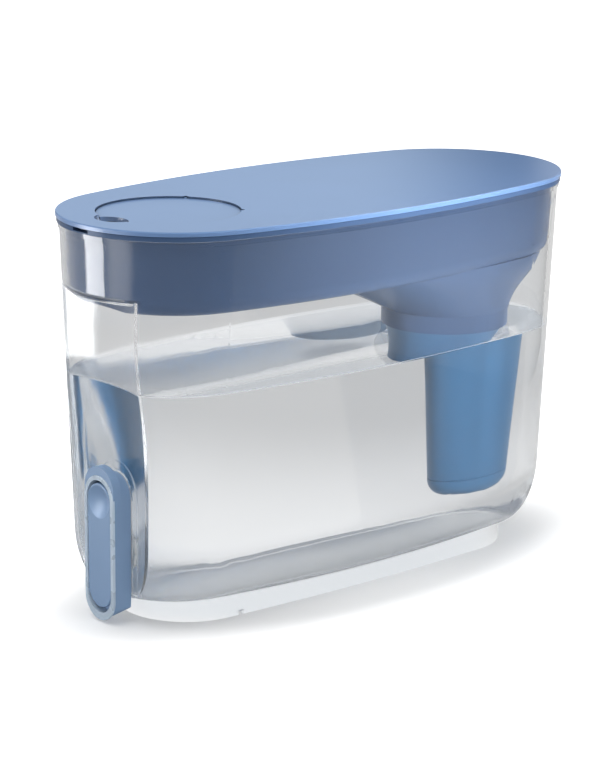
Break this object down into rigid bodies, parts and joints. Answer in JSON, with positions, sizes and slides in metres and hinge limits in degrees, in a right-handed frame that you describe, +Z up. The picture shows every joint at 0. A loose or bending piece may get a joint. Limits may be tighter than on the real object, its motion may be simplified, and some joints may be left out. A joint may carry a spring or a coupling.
{
  "type": "water filter dispenser",
  "caption": "Countertop water filter dispenser: clear oval tank on a ring foot, blue lid with a round fill hatch, hanging funnel reservoir, long filter cartridge and push-lever tap.",
  "frame": {"origin": "on the floor under the middle of the lid, at the centre of the footprint", "axes": "+Z up, -Y towards the tap at the front, +X to the right seen from behind the tap side, towards the side that the picture shows"},
  "size_m": [0.175, 0.38, 0.2554],
  "materials": {
    "clear_plastic": "clear gloss",
    "lid_blue": "satin",
    "reservoir_blue": "gloss",
    "filter_blue": "satin",
    "tap_blue": "gloss",
    "frosted_liner": "translucent gloss",
    "white_plastic": "satin",
    "steel": "brushed",
    "seal_rubber": "matt",
    "gasket_rubber": "matt",
    "media_white": "matt paper",
    "carbon": "matt"
  },
  "bodies": {
    "tank": {"tank": "clear_plastic", "tap_body": "tap_blue", "tap_liner": "frosted_liner", "lever_pin": "steel", "tap_gasket": "gasket_rubber", "inner_washer": "gasket_rubber", "tap_nut": "white_plastic", "stem_seal": "seal_rubber", "return_spring": "steel"},
    "reservoir": {"reservoir": "reservoir_blue"},
    "lid": {"lid_plate": "lid_blue"},
    "hatch": {"fill_hatch": "lid_blue"},
    "filter": {"filter_body": "filter_blue", "filter_seal": "seal_rubber", "filter_top_cap": "filter_blue", "filter_bottom_cap": "filter_blue", "filter_core": "white_plastic", "carbon_block": "carbon", "pleated_media": "media_white"},
    "lever": {"tap_lever": "tap_blue"},
    "valve": {"valve_stem": "white_plastic", "valve_plug": "seal_rubber"}
  },
  "joints": [
    {"name": "reservoir_lift", "type": "slide", "parent": "tank", "child": "reservoir", "axis": [0, 0, 1], "range_m": [0, 0.22]},
    {"name": "lid_lift", "type": "slide", "parent": "reservoir", "child": "lid", "axis": [0, 0, 1], "range_m": [0, 0.08]},
    {"name": "hatch_hinge", "type": "hinge", "parent": "lid", "child": "hatch", "pos_m": [0, -0.086, 0.2538], "axis": [-1, 0, 0], "range_deg": [0, 95]},
    {"name": "filter_lift", "type": "slide", "parent": "reservoir", "child": "filter", "axis": [0, 0, 1], "range_m": [0, 0.055]},
    {"name": "lever_press", "type": "hinge", "parent": "tank", "child": "lever", "pos_m": [0, -0.173, 0.017], "axis": [-1, 0, 0], "range_deg": [0, 5.5], "stiffness_Nm_per_rad": 1, "springref_deg": -5.73},
    {"name": "stem_slide", "type": "slide", "parent": "tank", "child": "valve", "axis": [0, 1, 0], "range_m": [0, 0.0027], "deforming": ["return_spring"]}
  ],
  "couplings": [
    {"joint": "stem_slide", "follows": "lever_press", "m_per_rad": 0.028}
  ]
}
